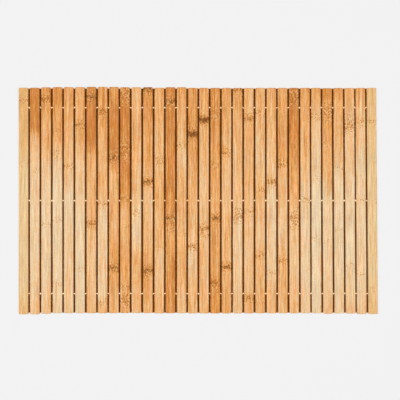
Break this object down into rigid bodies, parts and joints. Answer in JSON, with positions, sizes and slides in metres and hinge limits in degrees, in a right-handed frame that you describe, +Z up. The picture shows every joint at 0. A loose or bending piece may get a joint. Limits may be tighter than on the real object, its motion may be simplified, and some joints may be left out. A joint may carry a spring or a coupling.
{
  "type": "bamboo slat mat",
  "caption": "Flat rectangular floor mat of parallel bamboo slats strung on white elastic cords, with a small knot in every gap, for standing on.",
  "frame": {"origin": "middle of the underside of the flat mat, on the floor", "axes": "+X runs across the slats along the mat's long side, +Y along the slats, +Z up"},
  "size_m": [0.7988, 0.506, 0.009],
  "materials": {
    "bamboo_pale": "satin lacquer",
    "bamboo_honey": "satin lacquer",
    "bamboo_caramel": "satin lacquer",
    "elastic": "braided elastic cord"
  },
  "bodies": {
    "root": {"slat_01": "bamboo_pale", "slat_02": "bamboo_caramel", "slat_03": "bamboo_honey", "slat_04": "bamboo_pale", "slat_05": "bamboo_pale", "slat_06": "bamboo_pale", "slat_07": "bamboo_caramel", "slat_08": "bamboo_honey", "slat_09": "bamboo_caramel", "slat_10": "bamboo_caramel", "slat_11": "bamboo_honey", "slat_12": "bamboo_honey", "slat_13": "bamboo_honey", "slat_14": "bamboo_caramel", "slat_15": "bamboo_honey", "slat_16": "bamboo_honey", "slat_17": "bamboo_honey", "slat_18": "bamboo_caramel", "slat_19": "bamboo_honey", "slat_20": "bamboo_honey", "slat_21": "bamboo_honey", "slat_22": "bamboo_honey", "slat_23": "bamboo_pale", "slat_24": "bamboo_honey", "slat_25": "bamboo_caramel", "slat_26": "bamboo_pale", "slat_27": "bamboo_pale", "slat_28": "bamboo_honey", "slat_29": "bamboo_pale", "slat_30": "bamboo_pale", "slat_31": "bamboo_pale", "slat_32": "bamboo_pale", "cord_far": "elastic", "cord_middle": "elastic", "cord_near": "elastic"}
  },
  "joints": []
}
